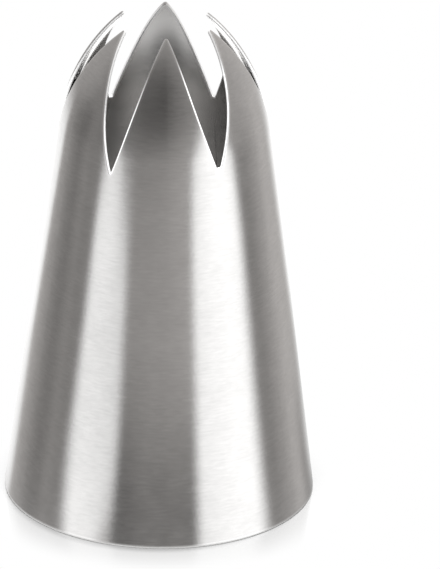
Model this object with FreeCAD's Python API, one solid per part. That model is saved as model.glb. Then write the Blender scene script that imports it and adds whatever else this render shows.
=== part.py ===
# Piping nozzle with a star outlet, in millimetres.
# A stainless-steel sheet is drawn into an open cone. Slots are cut into the rim of its narrow end, and
# the pointed teeth between them are pressed inwards, so that the opening is a star that shapes the icing.
# Origin: centre of the wide open end. +Z: along the cone, towards the teeth. Tooth 1 points to -Y.

import FreeCAD
import Part
import math
import os

# Driving dimensions
BASE_DIAMETER = 34.0        # outside of the wide end, which sits in the bag
SHOULDER_DIAMETER = 22.8    # outside of the cone where the wall starts to bend inwards
SHOULDER_HEIGHT = 42.4      # height of that shoulder above the wide end
HEIGHT = 54.0               # height of the tooth tips above the wide end
OUTLET_DIAMETER = 10.6      # circle through the outer corners of the tooth tips
WALL = 0.4                  # sheet thickness
TOOTH_COUNT = 6
SLOT_RUN = 1.0              # how far the slots run down past the shoulder
SLOT_ROOT_WIDTH = 0.55      # width of the flat at the bottom of each slot
TOOTH_TIP_WIDTH = 0.4       # the points are blunt
EDGE_ROUND = 0.1            # deburred edges of the wide end

# Sizes that follow from them
PITCH = 360.0 / TOOTH_COUNT
FIRST_TOOTH_ANGLE = -90.0
BASE_RADIUS = BASE_DIAMETER / 2
SHOULDER_RADIUS = SHOULDER_DIAMETER / 2
TIP_RADIUS = OUTLET_DIAMETER / 2
TRIM = WALL / 2             # how far the slot outline is drawn past the sheet that it cuts

AXIS_POINT = FreeCAD.Vector(0, 0, 0)
AXIS = FreeCAD.Vector(0, 0, 1)

# The wall's outside in the XZ plane: a straight cone, then an arc that bends in to the tips
OUTER_BASE = FreeCAD.Vector(BASE_RADIUS, 0, 0)
OUTER_SHOULDER = FreeCAD.Vector(SHOULDER_RADIUS, 0, SHOULDER_HEIGHT)
OUTER_TIP = FreeCAD.Vector(TIP_RADIUS, 0, HEIGHT)
UP_WALL = (OUTER_SHOULDER - OUTER_BASE).normalize()
INWARD = FreeCAD.Vector(-UP_WALL.z, 0, UP_WALL.x)
BEND_CHORD = OUTER_TIP - OUTER_SHOULDER
BEND_RADIUS = BEND_CHORD.dot(BEND_CHORD) / (2 * BEND_CHORD.dot(INWARD))
BEND_CENTRE = OUTER_SHOULDER + INWARD * BEND_RADIUS
BEND_ANGLE = 2 * math.atan2(BEND_CHORD.dot(INWARD), BEND_CHORD.dot(UP_WALL))

# The level of the slot bottoms, where the teeth grow out of the cone
LEVEL_WALL = FreeCAD.Vector(WALL / UP_WALL.z, 0, 0)
OUTER_ROOT = OUTER_SHOULDER - UP_WALL * (SLOT_RUN / UP_WALL.z)
INNER_ROOT = OUTER_ROOT - LEVEL_WALL


def line(start, end):
    return Part.LineSegment(start, end).toShape()


def arc(start, middle, end):
    return Part.Arc(start, middle, end).toShape()


def face_within(edges):
    return Part.Face(Part.Wire(Part.sortEdges(edges)[0]))


def on_bend(share, depth):
    """A point of the bend: share is 0 at the shoulder and 1 at the tip, depth is below the outside."""
    turn = share * BEND_ANGLE
    outward = UP_WALL * math.sin(turn) - INWARD * math.cos(turn)
    return BEND_CENTRE + outward * (BEND_RADIUS - depth)


def cone_wall():
    """The straight drawn cone, from the wide end up to the slot bottoms."""
    section = Part.makePolygon([OUTER_BASE, OUTER_ROOT, INNER_ROOT, OUTER_BASE - LEVEL_WALL, OUTER_BASE])
    wall = Part.Face(section).revolve(AXIS_POINT, AXIS, 360)
    wide_end_edges = [edge for edge in wall.Edges if edge.Closed and edge.BoundBox.ZMax < WALL]
    return wall.makeFillet(EDGE_ROUND, wide_end_edges)


def bent_sector():
    """One pitch of the sheet above the slot bottoms, bent in to the tip circle and centred on +X."""
    section = face_within([
        line(OUTER_ROOT, OUTER_SHOULDER),
        arc(OUTER_SHOULDER, on_bend(0.5, 0), OUTER_TIP),
        line(OUTER_TIP, on_bend(1, WALL)),
        arc(on_bend(1, WALL), on_bend(0.5, WALL), on_bend(0, WALL)),
        line(on_bend(0, WALL), INNER_ROOT),
        line(INNER_ROOT, OUTER_ROOT),
    ])
    section.rotate(AXIS_POINT, AXIS, -PITCH / 2)
    return section.revolve(AXIS_POINT, AXIS, PITCH)


def slot_outline():
    """A slot seen along its own radius, in the YZ plane. Its sides are arcs, upright at the tips."""
    half_pitch = math.radians(PITCH / 2)
    half_mouth = TIP_RADIUS * math.sin(half_pitch) - TOOTH_TIP_WIDTH / 2 * math.cos(half_pitch)
    depth = HEIGHT - OUTER_ROOT.z
    spread = half_mouth - SLOT_ROOT_WIDTH / 2
    side_radius = (depth ** 2 + spread ** 2) / (2 * spread)

    def on_side(drop):
        """The point of one side at that drop below the tips."""
        return FreeCAD.Vector(0, half_mouth - side_radius + math.sqrt(side_radius ** 2 - drop ** 2), HEIGHT - drop)

    mouth = on_side(0)
    below_root = on_side(depth + TRIM)
    above_tips = mouth + AXIS * TRIM
    right_side = [arc(below_root, on_side(depth / 2), mouth), line(mouth, above_tips)]
    left_side = [edge.mirror(AXIS_POINT, FreeCAD.Vector(0, 1, 0)) for edge in right_side]
    across = [line(end, FreeCAD.Vector(0, -end.y, end.z)) for end in (below_root, above_tips)]
    return face_within(right_side + left_side + across)


def tooth():
    """One pressed tooth, centred on +X: the bent sheet between two slots."""
    slot = slot_outline().extrude(FreeCAD.Vector(BASE_RADIUS, 0, 0))
    slots = [slot.rotated(AXIS_POINT, AXIS, angle) for angle in (-PITCH / 2, PITCH / 2)]
    return bent_sector().cut(slots).Solids[0]


def nozzle():
    """Every piece by its name, in place."""
    pieces = {"cone_wall": cone_wall()}
    first_tooth = tooth()
    for index in range(TOOTH_COUNT):
        angle = FIRST_TOOTH_ANGLE + index * PITCH
        pieces[f"tooth_{index + 1}"] = first_tooth.rotated(AXIS_POINT, AXIS, angle)
    return pieces


os.makedirs("parts", exist_ok=True)
for name, shape in nozzle().items():
    shape.exportStep(f"parts/{name}.step")
    print(name, "valid" if shape.isValid() else "NOT VALID", "volume", round(shape.Volume, 3), "mm3")
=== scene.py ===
"""A large open-star piping nozzle: a cone of stainless sheet, with its narrow end slotted into six teeth
that are pressed inwards."""
import math

import bpy
import numpy as np
from mathutils import Matrix, Vector


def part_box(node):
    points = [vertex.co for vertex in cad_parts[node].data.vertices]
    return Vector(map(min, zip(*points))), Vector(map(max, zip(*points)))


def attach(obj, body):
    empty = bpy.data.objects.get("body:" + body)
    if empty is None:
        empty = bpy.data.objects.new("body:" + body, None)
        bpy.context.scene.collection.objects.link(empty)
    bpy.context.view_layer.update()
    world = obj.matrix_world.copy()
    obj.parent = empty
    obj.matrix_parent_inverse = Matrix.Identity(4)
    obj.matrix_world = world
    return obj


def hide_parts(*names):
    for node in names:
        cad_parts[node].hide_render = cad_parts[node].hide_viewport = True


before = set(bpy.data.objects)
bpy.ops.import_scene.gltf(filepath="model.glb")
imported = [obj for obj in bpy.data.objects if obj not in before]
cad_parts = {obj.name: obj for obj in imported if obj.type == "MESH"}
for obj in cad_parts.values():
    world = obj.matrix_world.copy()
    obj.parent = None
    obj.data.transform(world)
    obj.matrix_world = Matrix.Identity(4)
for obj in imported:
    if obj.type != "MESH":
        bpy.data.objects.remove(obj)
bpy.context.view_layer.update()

# The nozzle
# One stamped and drawn piece of stainless sheet, with no seam, rim or fastener. The wall runs straight to
# the shoulder, six V-shaped slots are punched into its narrow end, and the teeth between them are pressed
# inwards.
_, cone_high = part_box("cone_wall")
_, tooth_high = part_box("tooth_1")
base_radius = cone_high[0]
slot_height = cone_high[2]
tip_height = tooth_high[2]
slot_run = 0.0010           # how far the slots run down past the shoulder
shoulder_height = slot_height + slot_run
shoulder_radius = 0.0114
tip_radius = 0.0051
sheet = 0.0004              # thickness
tooth_count = 6
half_pitch = math.pi / tooth_count
tip_round = 0.00024
edge_round = 0.00016        # how far a cut edge's rounding reaches into the sheet
base_round = 0.00042        # and that of the base edge
edge_boxiness = 0.80        # 1 is half an ellipse, and less is squarer
wear_reach = 0.0003         # how far from a cut edge the skin is worn

# The punch didn't cut all the slots alike. These lists go round from the slot right of the front tooth.
slot_drops = [0.00005, 0.0, -0.00035, -0.00040, 0.0, 0.00070]              # how much lower a slot ends
slot_half_widths = [0.00024, 0.00028, 0.00012, 0.00018, 0.00028, 0.00006]  # half of its flat bottom
slot_rounds = [0.00012, 0.00020, 0.00018, 0.00014, 0.00020, 0.00005]       # the round at that flat's ends
left_bulges = [0.00012, 0.0, 0.00040, 0.00006, 0.00020, -0.00014]          # how far its left side bows out
right_bulges = [0.00010, 0.00020, 0.00006, 0.00036, 0.0, 0.0]              # how far its right side does
slot_turns = np.radians([0.0, 0.0, 0.8, 1.0, 0.0, 0.0])                    # how far its bottom is turned on

# The teeth didn't all spring back alike after the press. These lists go round from the front tooth.
tooth_springs = np.array([0.00022, 0.00010, 0.00026, 0.00050, 0.00038, 0.00005])  # how far a tip stands out
tooth_turns = np.radians([0.0, 4.5, 0.0, 0.0, 0.0, 0.0])                   # how far it is turned on
inner_polish = np.array([0.8, 0.8, 1.0, 0.0, 1.0, 0.8])                    # how far its inside is polished
wall_polish = 0.25                                                         # and the wall's inside

# Each tooth's cut edge has a bright band: the shear-cut metal is matt, and how bright each band is and
# where it lies is painted highlight, set tooth by tooth. Places across the sheet go from 1 outside to -1
# inside, and where a list has two rows they are the teeth's left and right sides.
tooth_highlight = np.array([1.0, 1.0, 0.8, 0.4, 0.8, 1.0])
highlight_from = np.array([1.2, 0.8, 0.3, 0.2, 0.0, 0.8])                     # where across the band starts
highlight_to = np.array([-0.6, -0.2, -1.1, -0.6, -1.1, -0.6])                 # where it ends
highlight_soft = 0.3                                                          # how softly it starts
# The painted highlight rises to that level from a share of it, some way below the tip and over some height.
highlight_least = np.array([[0.0, 0.35, 0.0, 0.0, 0.0, 0.0],
                         [0.0, 0.0, 0.0, 0.0, 0.0, 0.42]])
highlight_below = np.array([[0.0032, 0.0024, -0.0007, 0.0003, -0.0007, -0.0002],
                         [0.0020, -0.0002, -0.0007, 0.0003, -0.0007, 0.0065]])
highlight_reach = np.array([[0.0056, 0.0018, 0.0015, 0.0015, 0.0015, 0.0015],
                         [0.0029, 0.0015, 0.0015, 0.0015, 0.0015, 0.0035]])
# Further down, and again over some height, its start moves out until it takes in the whole edge.
whole_from = 1.2
whole_below = np.array([0.0200, 0.0200, 0.0045, 0.0200, 0.0045, 0.0200])
whole_reach = 0.0050

# The sheet's side as radius and height: a straight wall, then an arc that bends in to the tip.
cone_slope = math.atan2(base_radius - shoulder_radius, shoulder_height)
wall_out = np.array([math.cos(cone_slope), math.sin(cone_slope)])
shoulder = np.array([shoulder_radius, shoulder_height])
tip_chord = np.array([tip_radius, tip_height]) - shoulder
bend_radius = -tip_chord.dot(tip_chord) / (2 * tip_chord.dot(wall_out))
bend_centre = shoulder - bend_radius * wall_out
tip_lean = math.atan2(tip_height - bend_centre[1], tip_radius - bend_centre[0])
middle_bend = bend_radius - sheet / 2
straight_length = (shoulder_height - sheet / 2 * math.sin(cone_slope)) / math.cos(cone_slope)
side_length = straight_length + middle_bend * (tip_lean - cone_slope)


def mix(start, end, share):
    """From start to end as a share goes from 0 to 1, in a straight line."""
    return start + (end - start) * share


def side(length):
    """The sheet's middle at a length up its side, as radius, height and lean: a straight line to the
    shoulder, then an arc that bends inwards."""
    lean = cone_slope + np.maximum(length - straight_length, 0) / middle_bend
    below = np.minimum(length - straight_length, 0)
    radius = bend_centre[0] + middle_bend * np.cos(lean) - below * math.sin(cone_slope)
    height = bend_centre[1] + middle_bend * np.sin(lean) + below * math.cos(cone_slope)
    return radius, height, lean


def length_at(height):
    """The length up the side at which the sheet's middle has a height: the line or the arc solved for its
    length."""
    rise = np.clip((height - bend_centre[1]) / middle_bend, -1, 1)
    on_arc = straight_length + middle_bend * (np.arcsin(rise) - cone_slope)
    _, shoulder_middle, _ = side(straight_length)
    on_line = straight_length + (height - shoulder_middle) / math.cos(cone_slope)
    return np.where(height > shoulder_middle, on_arc, on_line)


flat_points = 4
round_points = 6
flank_points = 32
tip_points = 8


def half_slot(root_height, root_half_width, root_round, bulge):
    """Half of a slot's edge as angle from the slot's middle and length up the side: a flat bottom, a small
    round, an arc that ends upright at the tip, and the round of the tooth's tip to the tooth's middle. The
    arc is bowed by the bulge times 16 s^2 (1 - s)^2, which is 1 halfway, for a share s of the way up."""
    taper = math.atan(math.sin(tip_lean) * math.tan(half_pitch))
    tip_angles = np.linspace(taper, math.pi / 2, tip_points)
    tip_across = tip_round * np.cos(tip_angles)
    tip_lengths = side_length - tip_round + tip_round * np.sin(tip_angles)
    tip_radii, tip_heights, _ = side(tip_lengths)
    mouth = tip_radii[0] * math.sin(half_pitch) - tip_across[0] * math.cos(half_pitch)
    depth = tip_height - root_height
    spread = mouth - root_half_width
    flank_radius = (depth ** 2 + spread ** 2) / (2 * spread)
    root_slope = math.asin(depth / flank_radius)
    round_centre = root_half_width - root_round * (1 - math.sin(root_slope)) / math.cos(root_slope)
    round_angles = np.linspace(-math.pi / 2, -root_slope, round_points)
    round_across = round_centre + root_round * np.cos(round_angles)
    round_heights = root_height + root_round * (1 + np.sin(round_angles))
    flank_heights = np.linspace(round_heights[-1], tip_heights[0], flank_points)[1:-1]
    flank_across = mouth - flank_radius + np.sqrt(flank_radius ** 2 - (tip_height - flank_heights) ** 2)
    flank_share = (flank_heights - root_height) / depth
    flank_across = flank_across + 16 * bulge * (flank_share * (1 - flank_share)) ** 2
    flat_across = np.linspace(0, round_centre, flat_points)[:-1]
    across = np.concatenate([flat_across, round_across, flank_across])
    heights = np.concatenate([np.full(flat_across.size, root_height), round_heights, flank_heights])
    lengths = length_at(heights)
    radii, _, _ = side(lengths)
    angles = np.concatenate([np.arcsin(across / radii), half_pitch - np.arcsin(tip_across / tip_radii)])
    return angles, np.concatenate([lengths, tip_lengths])


def cut_section(steps):
    """A cut edge's cross-section as shares across the sheet and outwards: half an ellipse, squared off by
    raising its cosine and sine to a power below 1."""
    turn = np.linspace(0, math.pi, steps + 1)
    across = np.sign(np.cos(turn)) * np.abs(np.cos(turn)) ** edge_boxiness
    return across, np.sin(turn) ** edge_boxiness


def sheet_points(angle, length, depth):
    """Points of the sheet: turned about the axis from the front, up the side, and out from its middle by a
    depth. Above the shoulder a tooth's spring and turn are added, growing with the square of the way to
    the tip."""
    radius, height, lean = side(length)
    tooth = np.rint(angle / (2 * half_pitch)).astype(int) % tooth_count
    way_up = np.maximum(length - straight_length, 0) / (side_length - straight_length)
    depth = depth + tooth_springs[tooth] * way_up ** 2
    angle = angle + tooth_turns[tooth] * way_up ** 2
    radius = radius + depth * np.cos(lean)
    height = height + depth * np.sin(lean)
    return np.stack([radius * np.sin(angle), -radius * np.cos(angle), height], axis=-1)


# The zigzag top edge of the whole sheet, slot by slot, and the direction in the sheet that points off it.
edge_angles = []
edge_lengths = []
for slot_number in range(tooth_count):
    slot_angle = half_pitch + 2 * half_pitch * slot_number
    root = slot_height - slot_drops[slot_number], slot_half_widths[slot_number], slot_rounds[slot_number]
    left_angles, left_lengths = half_slot(*root, left_bulges[slot_number])
    right_angles, right_lengths = half_slot(*root, right_bulges[slot_number])
    left_middle = slot_angle + slot_turns[slot_number] * (1 - left_angles / half_pitch)
    right_middle = slot_angle + slot_turns[slot_number] * (1 - right_angles / half_pitch)
    edge_angles += [(left_middle - left_angles)[:0:-1], (right_middle + right_angles)[:-1]]
    edge_lengths += [left_lengths[:0:-1], right_lengths[:-1]]
edge_angles = np.concatenate(edge_angles)
edge_lengths = np.concatenate(edge_lengths)
edge_radii, edge_heights, _ = side(edge_lengths)
run_across = np.angle(np.exp(1j * (np.roll(edge_angles, -1) - np.roll(edge_angles, 1)))) * edge_radii
run_up = np.roll(edge_lengths, -1) - np.roll(edge_lengths, 1)
run = np.hypot(run_across, run_up)
off_angle = -run_up / run / edge_radii
off_length = run_across / run

# The painted highlight on the cut edge along the zigzag, and from where across the sheet it starts.
edge_tooth = np.rint(edge_angles / (2 * half_pitch)).astype(int) % tooth_count
edge_side = np.where(np.sin(edge_angles - 2 * half_pitch * edge_tooth) < 0, 0, 1)
under_tip = tip_height - edge_heights
rise = (under_tip - highlight_below[edge_side, edge_tooth]) / highlight_reach[edge_side, edge_tooth]
rise = mix(highlight_least[edge_side, edge_tooth], 1, np.clip(rise, 0, 1))
zigzag_highlight = tooth_highlight[edge_tooth] * rise
whole = np.clip((under_tip - whole_below[edge_tooth]) / whole_reach, 0, 1)
highlight_start = mix(highlight_from[edge_tooth], whole_from, whole)

# Rows of the closed skin: up the outside, over the top edge, down the inside and round the base edge. Each
# has its angles, lengths, depth, wear towards the cut edge, painted highlight on the cut, and finish.
outside, inside, cut = 0, 1, 2
section_steps = 14
wall_rings = 16
fan_rows = 36
fan_drop = 0.003            # how far below the slots the rows begin to follow the zigzag
brim = 0.00004              # a narrow strip of skin beside the edge's rounding, which keeps that crisp
fan_length = length_at(slot_height) - fan_drop
inset = edge_round + brim
no_wear = np.zeros(edge_angles.size)
full_wear = np.ones(edge_angles.size)


def painted_highlight(across):
    """The painted highlight on the cut edges at a share across the sheet: a band with a soft start and a
    sharp end.
    """
    band = np.clip((highlight_start - across) / highlight_soft + 0.5, 0, 1) * (across > highlight_to[edge_tooth])
    return zigzag_highlight * band


def base_length(depth, height):
    """The length up the wall at which a skin at some depth stands at a height: the height, less what the
    depth adds to it, over the cosine of the slope."""
    return (height - depth * math.sin(cone_slope)) / math.cos(cone_slope)


def skin_rows(depth, finish):
    """One skin from base to top edge: level rings up to just under the slots, then rows that grow into the
    zigzag in even steps."""
    bright = painted_highlight(2 * depth / sheet)
    ring_lengths = np.linspace(base_length(depth, base_round), fan_length, wall_rings)
    rings = [(edge_angles, no_wear + length, depth, no_wear, no_wear, finish) for length in ring_lengths]
    last_angles = edge_angles - off_angle * inset
    last_lengths = edge_lengths - off_length * inset
    fans = []
    for share in np.linspace(0, 1, fan_rows + 1)[1:]:
        fan_angles = mix(edge_angles, last_angles, share)
        to_edge = (last_lengths - fan_length) * (1 - share)
        wear = np.exp(-to_edge / wear_reach)
        fans.append((fan_angles, last_lengths - to_edge, depth, wear, bright, finish))
    brim_angles = edge_angles - off_angle * edge_round
    brim_lengths = edge_lengths - off_length * edge_round
    return rings + fans + [(brim_angles, brim_lengths, depth, full_wear, bright, finish)]


section_across, section_out = cut_section(section_steps)
rows = skin_rows(sheet / 2, outside)
for across, out in zip(section_across[1:-1], section_out[1:-1]):
    off_edge = edge_round * (out - 1)
    cut_angles = edge_angles + off_angle * off_edge
    cut_lengths = edge_lengths + off_length * off_edge
    rows.append((cut_angles, cut_lengths, sheet / 2 * across, full_wear, painted_highlight(across), cut))
rows += skin_rows(-sheet / 2, inside)[::-1]
for across, out in zip(section_across[-2:0:-1], section_out[-2:0:-1]):
    depth = sheet / 2 * across
    level_lengths = no_wear + base_length(depth, base_round * (1 - out))
    rows.append((edge_angles, level_lengths, depth, full_wear, no_wear, outside if across > 0 else cut))

angles, lengths, depths, wears, highlights, finishes = zip(*rows)
points = sheet_points(np.stack(angles), np.stack(lengths), np.array(depths)[:, None])
row_finish = np.array(finishes)
polish_reach = 0.003
up_the_tooth = np.clip((points[..., 2] - shoulder_height) / polish_reach, 0, 1)
polishes = (row_finish == inside)[:, None] * mix(wall_polish, inner_polish[edge_tooth], up_the_tooth)
row_count, column_count, _ = points.shape
number = np.arange(row_count * column_count).reshape(row_count, column_count)
right = np.roll(number, -1, axis=1)
faces = np.stack([number, right, np.roll(right, -1, axis=0), np.roll(number, -1, axis=0)], axis=-1)
face_finish = np.repeat(np.maximum(row_finish, np.roll(row_finish, -1)), column_count)

shell_mesh = bpy.data.meshes.new("nozzle_shell")
shell_mesh.from_pydata(points.reshape(-1, 3).tolist(), [], faces.reshape(-1, 4).tolist())
shell_mesh.polygons.foreach_set("material_index", face_finish.astype(np.int32))
shell_mesh.shade_smooth()
# One of these attributes holds the cut edges' painted highlight; the others are wear and polish.
for name, values in (("edge_wear", wears), ("painted_edge_highlight", highlights), ("polish", polishes)):
    attribute = shell_mesh.attributes.new(name, "FLOAT", "POINT")
    attribute.data.foreach_set("value", np.concatenate(values).astype(np.float32))
shell = bpy.data.objects.new("nozzle_shell", shell_mesh)
bpy.context.scene.collection.objects.link(shell)


class Wire:
    """A socket of a node tree. Arithmetic on it adds Math nodes, and node() adds any other kind of node."""

    def __init__(self, tree, socket=None):
        self.tree = tree
        self.socket = socket

    def node(self, kind, settings=(), values=(), out=0):
        """Adds a node: its settings are set first, then its sockets get their values or links."""
        made = self.tree.nodes.new("ShaderNode" + kind)
        for name, value in dict(settings).items():
            setattr(made, name, value)
        for name, value in dict(values).items():
            if isinstance(value, Wire):
                self.tree.links.new(value.socket, made.inputs[name])
            else:
                made.inputs[name].default_value = value
        return Wire(self.tree, made.outputs[out] if made.outputs else None)

    def __add__(self, other):
        return self.node("Math", {"operation": "ADD"}, {0: self, 1: other})

    def __sub__(self, other):
        return self.node("Math", {"operation": "SUBTRACT"}, {0: self, 1: other})

    def __rsub__(self, other):
        return self.node("Math", {"operation": "SUBTRACT"}, {0: other, 1: self})

    def __mul__(self, other):
        return self.node("Math", {"operation": "MULTIPLY"}, {0: self, 1: other})

    __radd__ = __add__
    __rmul__ = __mul__


def new_material(name):
    """An empty material and the wire that its nodes grow from."""
    material = bpy.data.materials.new(name)
    material.use_nodes = True
    material.node_tree.nodes.clear()
    return material, Wire(material.node_tree)


def steel_finish(name, colour, wear_and_highlight_colour, wear_and_highlight_metallic, wear_and_highlight_by, roughness, anisotropy, grain):
    """Stainless steel with fine lines round the cone: noise that is drawn out level varies its colour and
    roughness and dents it slightly, with a soft haze over it. Its colour, roughness and mattness change
    where an edge value rises, which is wear on the brushed and pressed steel and painted highlight on the
    cut edges, and it is smoother where the press polished it."""
    finish, metal = new_material(name)
    fine_stretch = (800, 800, 4600)
    broad_stretch = (160, 160, 1500)
    place = metal.node("TexCoord", out="Object")
    fine_place = metal.node("VectorMath", {"operation": "MULTIPLY"}, {0: place, 1: fine_stretch})
    broad_place = metal.node("VectorMath", {"operation": "MULTIPLY"}, {0: place, 1: broad_stretch})

    def noise(where, scale, detail):
        """Noise of a scale at a place, to which each finer layer adds 0.6 times what the last one did."""
        values = {"Vector": where, "Scale": scale, "Detail": detail, "Roughness": 0.6}
        return metal.node("TexNoise", {}, values)

    grit = noise(place, 2600.0, 2.0)
    fine_lines = noise(fine_place, 1.0, 2.0)
    broad_lines = noise(broad_place, 1.0, 3.0)
    haze = noise(place, 420.0, 4.0)
    # Wear on the brushed and pressed steel, and painted highlight on the cut edges.
    wear_and_highlight = metal.node("Attribute", {"attribute_name": wear_and_highlight_by}, out="Fac")
    polished = metal.node("Attribute", {"attribute_name": "polish"}, out="Fac")
    shade = 0.78 + 0.20 * fine_lines + 0.04 * broad_lines + 0.20 * haze
    lined_colour = metal.node("Mix", {"data_type": "RGBA", "blend_type": "MULTIPLY"},
                              {0: 1.0, 6: colour, 7: shade}, out=2)
    steel_colour = metal.node("Mix", {"data_type": "RGBA"},
                              {0: wear_and_highlight, 6: lined_colour, 7: wear_and_highlight_colour}, out=2)
    metallic = 1 - (1 - wear_and_highlight_metallic) * wear_and_highlight if wear_and_highlight_metallic < 1 else 1.0
    lined_roughness = roughness - 0.05 + 0.04 * fine_lines + 0.02 * broad_lines + 0.04 * haze
    dents = metal.node("Bump", {}, {"Strength": grain, "Distance": 0.00002,
                                    "Height": fine_lines + 0.5 * broad_lines + grit})
    metal.node("OutputMaterial", {}, {"Surface": metal.node("BsdfPrincipled", {}, {
        "Base Color": steel_colour, "Metallic": metallic,
        "Roughness": lined_roughness + 0.04 * wear_and_highlight - 0.13 * polished, "Normal": dents,
        "Anisotropic": anisotropy, "Anisotropic Rotation": 0.25})})
    return finish


# The outside is brushed round the cone, so it mirrors sharply sideways and smears up and down. The inside
# is left dull from the press, and the cut edges are satin, with painted highlight in their bright band,
# where they turn paler and matt. They come in the order of the rows' finishes.
shell_mesh.materials.append(steel_finish(
    "brushed_steel", colour=(0.56, 0.555, 0.55, 1), wear_and_highlight_colour=(0.72, 0.715, 0.71, 1), wear_and_highlight_metallic=1.0,
    wear_and_highlight_by="edge_wear", roughness=0.22, anisotropy=0.90, grain=0.15))
shell_mesh.materials.append(steel_finish(
    "pressed_steel", colour=(0.62, 0.61, 0.60, 1), wear_and_highlight_colour=(0.66, 0.65, 0.64, 1), wear_and_highlight_metallic=1.0,
    wear_and_highlight_by="edge_wear", roughness=0.25, anisotropy=0.80, grain=0.00))
# Where its highlight value rises the cut steel turns paler and matt: painted highlight.
shell_mesh.materials.append(steel_finish(
    "cut_steel", colour=(0.85, 0.85, 0.85, 1), wear_and_highlight_colour=(0.95, 0.95, 0.95, 1), wear_and_highlight_metallic=0.35,
    wear_and_highlight_by="painted_edge_highlight", roughness=0.42, anisotropy=0.00, grain=0.05))

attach(shell, "root")
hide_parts("cone_wall", "tooth_1", "tooth_2", "tooth_3", "tooth_4", "tooth_5", "tooth_6")

# The table
# A glossy white sheet that the nozzle stands on. The steel mirrors the tent round it and not the sheet,
# apart from the round patch that the nozzle covers, which glows with painted light and closes the cone from
# below. From under it both are clear.
floor_half = 3.0
patch_gap = 0.0003          # between the patch's rim and the nozzle's outside
patch_radius = base_radius - patch_gap
patch_lift = 0.00002        # over the rest of the sheet
patch_corners = 96


def distance(table, place, point):
    """How far a place on the table is from a point."""
    return table.node("VectorMath", {"operation": "DISTANCE"}, {0: place, 1: point}, out="Value")


def soft_step(table, value, start, end, low):
    """From a low value to 1 as another goes from start to end, with soft ends."""
    return table.node("MapRange", {"interpolation_type": "SMOOTHSTEP"}, {
        "Value": value, "From Min": start, "From Max": end, "To Min": low, "To Max": 1.0})


def clear_from_under(table, front):
    """Ends a sheet's material: its front as given, and nothing to see from behind."""
    from_under = table.node("NewGeometry", out="Backfacing")
    clear = table.node("BsdfTransparent")
    surface = table.node("MixShader", {}, {0: from_under, 1: front, 2: clear})
    table.node("OutputMaterial", {}, {"Surface": surface})


def white_sheet():
    """Glossy white acrylic. Close to the nozzle, which hides much of the room from it, it is a lit grey
    sheet with painted shade added that is darkest at the front foot. Away from the nozzle it is white. Soft
    steps of a distance lead from one to the next."""
    acrylic, table = new_material("white_sheet")
    place = table.node("TexCoord", out="Object")
    # Painted shade round the nozzle's foot, pushed towards the front.
    from_foot = distance(table, place, (-0.0003, -0.0011, 0))
    painted_foot_shade = soft_step(table, from_foot, base_radius - 0.0012, base_radius + 0.0001, 0.62)
    painted_shade_tint = table.node("Mix", {"data_type": "RGBA", "blend_type": "MULTIPLY"},
                      {0: 1.0, 6: (0.26, 0.26, 0.26, 1), 7: painted_foot_shade}, out=2)
    near = table.node("BsdfPrincipled", {}, {"Base Color": painted_shade_tint, "Roughness": 0.10, "IOR": 2.2})
    far = table.node("Emission", {}, {"Color": (1, 1, 1, 1)})
    from_nozzle = distance(table, place, (0, -0.002, 0))
    away = soft_step(table, from_nozzle, base_radius - 0.0015, base_radius + 0.0042, 0.0)
    clear_from_under(table, table.node("MixShader", {}, {0: away, 1: near, 2: far}))
    return acrylic


def covered_sheet():
    """The sheet under the nozzle, which glows with painted light in place of the light that comes in through
    the star: most behind the middle, less at the back and front, and least in a wide pool at the front and
    a small one to its left. Its light is the product of four soft steps."""
    acrylic, table = new_material("covered_sheet")
    place = table.node("TexCoord", out="Object")
    backwards = table.node("SeparateXYZ", {}, {0: place}, out="Y")
    # Painted light: pools of light and shade on the patch, in place of light through the star.
    front_pool = soft_step(table, distance(table, place, (-0.001, -0.011, 0)), 0.006, 0.014, 0.22)
    left_pool = soft_step(table, distance(table, place, (-0.005, -0.0115, 0)), 0.003, 0.008, 0.0)
    front_light = soft_step(table, backwards, -0.008, -0.002, 0.6)
    back_light = soft_step(table, backwards, 0.016, 0.006, 0.8)
    painted_glow = front_pool * left_pool * front_light * back_light
    clear_from_under(table, table.node("Emission", {}, {"Color": painted_glow}))
    return acrylic


floor_mesh = bpy.data.meshes.new("floor")
floor_mesh.from_pydata([(-floor_half, -floor_half, 0), (floor_half, -floor_half, 0),
                        (floor_half, floor_half, 0), (-floor_half, floor_half, 0)], [], [(0, 1, 2, 3)])
floor_mesh.materials.append(white_sheet())
floor = bpy.data.objects.new("floor", floor_mesh)
floor.visible_glossy = False
floor.visible_shadow = False
bpy.context.scene.collection.objects.link(floor)

patch_turns = np.linspace(0, 2 * math.pi, patch_corners, endpoint=False)
patch_points = np.stack([patch_radius * np.cos(patch_turns), patch_radius * np.sin(patch_turns),
                         np.full(patch_corners, patch_lift)], axis=-1)
patch_mesh = bpy.data.meshes.new("floor_patch")
patch_mesh.from_pydata(patch_points.tolist(), [], [list(range(patch_corners))])
patch_mesh.materials.append(covered_sheet())
patch = bpy.data.objects.new("floor_patch", patch_mesh)
bpy.context.scene.collection.objects.link(patch)

# The studio
# A light tent hangs close round the nozzle: a softbox shines through it on each side of the lens, white
# cloth closes it behind, and the rest is grey cloth. The steel mirrors it, the camera looks through it, and
# it throws no shadow.
tent_radius = 0.045
tent_bottom = -0.025
tent_shoulder = 0.045
ground_rings = 7
wall_steps = 36
dome_rings = 30
tent_turns = 360
warm_grey = np.array([1.025, 0.99, 0.965])

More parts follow.
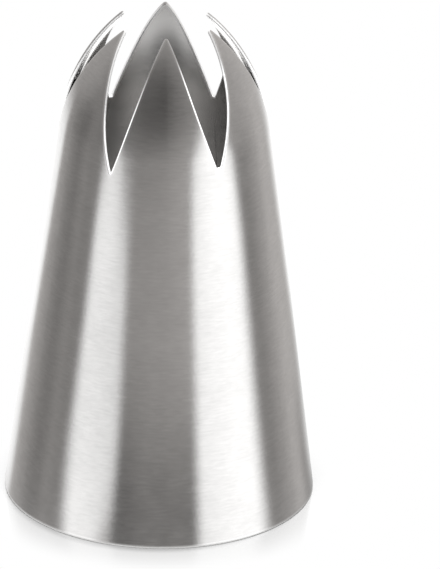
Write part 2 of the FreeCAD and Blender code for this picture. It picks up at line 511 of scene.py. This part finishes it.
# Bearings go round from the front to the right in degrees, and heights are in metres. The tent is a
# cylinder with a flat ground, and above its shoulder a half sphere.
ground_radii = np.linspace(0, tent_radius, ground_rings + 1)[:-1]
wall_heights = np.linspace(tent_bottom, tent_shoulder, wall_steps)
dome_rises = np.linspace(0, math.pi / 2, dome_rings + 1)[1:]
profile_heights = np.concatenate([np.full(ground_rings, tent_bottom), wall_heights,
                                  tent_shoulder + tent_radius * np.sin(dome_rises)])
profile_radii = np.concatenate([ground_radii, np.full(wall_steps, tent_radius),
                                tent_radius * np.cos(dome_rises)])
bearing, height = np.meshgrid(np.linspace(-180, 180, tent_turns, endpoint=False), profile_heights)
tent_points = np.stack([profile_radii[:, None] * np.sin(np.radians(bearing)),
                        -profile_radii[:, None] * np.cos(np.radians(bearing)), height], axis=-1)


def fade(value, start, end):
    """From 0 to 1 as a value goes from start to end, with soft ends."""
    share = np.clip((value - start) / (end - start), 0, 1)
    return share ** 2 * (3 - 2 * share)


def past(value, edge, soft):
    """1 where a value is past an edge and 0 before it, with the edge spread over twice a soft width."""
    return fade(value - edge, -soft, soft)


def short_of(value, edge, soft):
    """1 where a value is short of an edge and 0 past it, with the edge spread over twice a soft width."""
    return fade(edge - value, -soft, soft)


def grey_cloth():
    """How bright the plain cloth is: levels round the tent at three heights and one at the top, which run
    into each other, with a shade low down in front and another low down behind the right side."""
    low = np.interp(bearing, [-125, -115, -110, -104, -97, -91, -84, -79, -73, -30, 0, 10, 18,
                              25, 72, 83, 90, 98, 106, 114, 124, 135, 148],
                    [0.60, 0.50, 0.46, 0.38, 0.32, 0.28, 0.34, 0.38, 0.33, 0.44, 0.51, 0.56, 0.58,
                     0.56, 0.37, 0.35, 0.43, 0.53, 0.64, 0.68, 0.64, 0.58, 0.48])
    middle = np.interp(bearing, [-180, -125, -114, -106, -100, -92, -84, -79, -72, -50,
                                 -12, 0, 10, 18, 60, 90, 98, 106, 115, 180],
                       [0.58, 0.45, 0.40, 0.33, 0.27, 0.19, 0.18, 0.25, 0.30, 0.20,
                        0.25, 0.29, 0.42, 0.48, 0.50, 0.53, 0.60, 0.68, 0.72, 0.58])
    high = np.interp(bearing, [-180, -110, -100, -94, -86, -77, -50, -25, -12,
                               0, 10, 18, 25, 60, 93, 110, 125, 180],
                     [0.58, 0.50, 0.48, 0.43, 0.36, 0.32, 0.25, 0.16, 0.14,
                      0.12, 0.22, 0.28, 0.32, 0.46, 0.55, 0.62, 0.66, 0.58])
    top = 0.46
    front_shade = np.interp(bearing, [-28, -10, 25], [0.72, 0.50, 0.62]) * short_of(height, 0.008, 0.008)
    front_shade = front_shade * past(bearing, -30, 4) * short_of(bearing, 25, 4)
    right_shade = 0.4 * past(bearing, 118, 10) * short_of(bearing, 165, 10) * short_of(height, -0.002, 0.006)
    level = low * (1 - front_shade) * (1 - right_shade)
    level = mix(level, middle, past(height, 0.040, 0.006))
    level = mix(level, high, past(height, 0.052, 0.006))
    return mix(level, top, past(height, 0.082, 0.006))


def left_softbox():
    """The tall lamp to the left of the lens, as share and level: its sides and top are slightly bowed, and
    it is brightest along its middle and at its lower and upper ends."""
    start = np.interp(height, [-0.010, 0.002, 0.02], [-60.5, -65.0, -61.6])
    end = np.interp(height, [-0.010, 0, 0.010, 0.018, 0.030], [-39.5, -28.2, -27.7, -29.4, -27.6])
    top = np.interp(bearing, [-63, -47, -41, -36, -29], [0.031, 0.043, 0.039, 0.034, 0.028])
    share = past(bearing, start, 5) * short_of(bearing, end, 4.5) * short_of(height, top, 0.004)
    level = np.interp(bearing, [-66, -57, -30], [1.20, 1.45, 1.22])
    level = level * (1 + 0.16 * short_of(height, 0.001, 0.005)) * (1 + 0.14 * past(height, 0.026, 0.006))
    return share, level


def right_softbox():
    """The broader lamp to the right of the lens, as share and level: it is highest in its middle and grows
    brighter away from the lens."""
    end = np.interp(height, [-0.008, 0.002, 0.02], [70.6, 69.2, 70.0])
    top = np.interp(bearing, [24, 42, 72], [0.036, 0.056, 0.033])
    share = past(bearing, 23.7, 4.7) * short_of(bearing, end, 7.5) * short_of(height, top, 0.004)
    level = np.interp(bearing, [25, 40, 55], [1.54, 1.73, 1.88]) * (1 + 0.06 * past(height, 0.027, 0.007))
    return share, level


def white_backdrop():
    """The white cloth behind, as share and level: it ends unevenly at both sides, is dimmer low down, most
    of all towards the right, and is brightest straight behind."""
    left_end = np.interp(height, [-0.006, 0.006, 0.022, 0.04], [-127, -129, -125, -118])
    right_end = np.interp(height, [-0.016, -0.010, 0.004, 0.04], [147, 138, 148, 133])
    share = np.maximum(short_of(bearing, left_end, 4), fade(bearing, right_end - 16, right_end + 9))
    share = share * short_of(height, 0.040, 0.006)
    low_drop = np.interp(bearing, [-180, -172, 0, 150, 165, 176, 180],
                         [0.60, 0.15, 0.15, 0.45, 0.72, 1.05, 0.60])
    straight_behind = fade(np.abs(bearing), 155, 168)
    straight_behind = straight_behind * past(height, 0.012, 0.004) * short_of(height, 0.034, 0.004)
    level = 1.45 - low_drop * short_of(height, 0.005, 0.007) + 0.5 * straight_behind
    return share, level


def hem():
    """The tent's lowest strip and its ground, as share and level: bright at the left and in front, and dim
    behind the right side."""
    level = np.interp(bearing, [-180, -150, -120, 60, 100, 150, 170, 180],
                      [0.68, 0.85, 0.90, 0.90, 0.65, 0.45, 0.50, 0.68])
    return fade(-height, 0.014, 0.017), level


tent_light = grey_cloth()[..., None] * warm_grey
for share, level in (left_softbox(), right_softbox(), white_backdrop(), hem()):
    tent_light = mix(tent_light, level[..., None], share[..., None])

ring_count, turn_count = bearing.shape
tent_number = np.arange(ring_count * turn_count).reshape(ring_count, turn_count)
tent_right = np.roll(tent_number, -1, axis=1)
tent_faces = np.stack([tent_number[:-1], tent_number[1:], tent_right[1:], tent_right[:-1]], axis=-1)
tent_mesh = bpy.data.meshes.new("light_tent")
tent_mesh.from_pydata(tent_points.reshape(-1, 3).tolist(), [], tent_faces.reshape(-1, 4).tolist())
tent_mesh.shade_smooth()
cloth_light = tent_mesh.attributes.new("cloth_light", "FLOAT_COLOR", "POINT")
opaque = np.ones((ring_count, turn_count, 1))
tent_colours = np.concatenate([tent_light, opaque], axis=-1)
cloth_light.data.foreach_set("color", tent_colours.ravel().astype(np.float32))
tent_cloth, lit = new_material("tent_cloth")
cloth_colour = lit.node("Attribute", {"attribute_name": "cloth_light"}, out="Color")
lit.node("OutputMaterial", {}, {"Surface": lit.node("Emission", {}, {"Color": cloth_colour})})
tent_mesh.materials.append(tent_cloth)
tent = bpy.data.objects.new("light_tent", tent_mesh)
tent.visible_camera = False
tent.visible_diffuse = False
tent.visible_shadow = False
bpy.context.scene.collection.objects.link(tent)

# The room beyond the tent is white.
world = bpy.data.worlds.new("white_room")
world.use_nodes = True
world.node_tree.nodes.clear()
bpy.context.scene.world = world
room = Wire(world.node_tree)
room.node("OutputWorld", {}, {"Surface": room.node("Background", {}, {"Color": (1, 1, 1, 1)})})

# The lamp overhead lights the table and the matt part of the cut edges, and the steel doesn't mirror it.
lamp_data = bpy.data.lights.new("overhead_softbox", "AREA")
lamp_data.shape = "RECTANGLE"
lamp_data.size = 0.20
lamp_data.size_y = 0.06
lamp_data.energy = 10.2
lamp = bpy.data.objects.new("overhead_softbox", lamp_data)
lamp.location = (0, -0.05, 0.6)
lamp.visible_glossy = False
bpy.context.scene.collection.objects.link(lamp)

# The camera
# A long lens a little above the nozzle, with the front tooth almost square to it and the frame leaning
# slightly. It stands off from a point on the nozzle's axis and aims a little to the right of that point and
# below it.
camera_rise = math.radians(22.85)
camera_turn = math.radians(-0.767)
camera_roll = math.radians(0.861)
camera_distance = 0.6138
look_height = 0.028
aim_right = 0.00623
aim_down = 0.0040
camera_data = bpy.data.cameras.new("camera")
camera_data.lens = 358.9
camera_data.sensor_width = 36.0
camera_data.clip_start = 0.01
camera = bpy.data.objects.new("camera", camera_data)
bpy.context.scene.collection.objects.link(camera)
outward = Vector((math.sin(camera_turn) * math.cos(camera_rise),
                  -math.cos(camera_turn) * math.cos(camera_rise),
                  math.sin(camera_rise)))
level_right = Vector((math.cos(camera_turn), math.sin(camera_turn), 0))
level_up = outward.cross(level_right)
frame_right = math.cos(camera_roll) * level_right + math.sin(camera_roll) * level_up
frame_up = math.cos(camera_roll) * level_up - math.sin(camera_roll) * level_right
look_at = Vector((0, 0, look_height))
stand = look_at + camera_distance * outward
aim = look_at + aim_right * frame_right - aim_down * frame_up
back = (stand - aim).normalized()
across_frame = frame_up.cross(back).normalized()
camera_axes = Matrix((across_frame, back.cross(across_frame), back)).transposed()
camera.matrix_world = Matrix.Translation(stand) @ camera_axes.to_4x4()
bpy.context.scene.camera = camera
bpy.context.scene.view_settings.view_transform = "Standard"
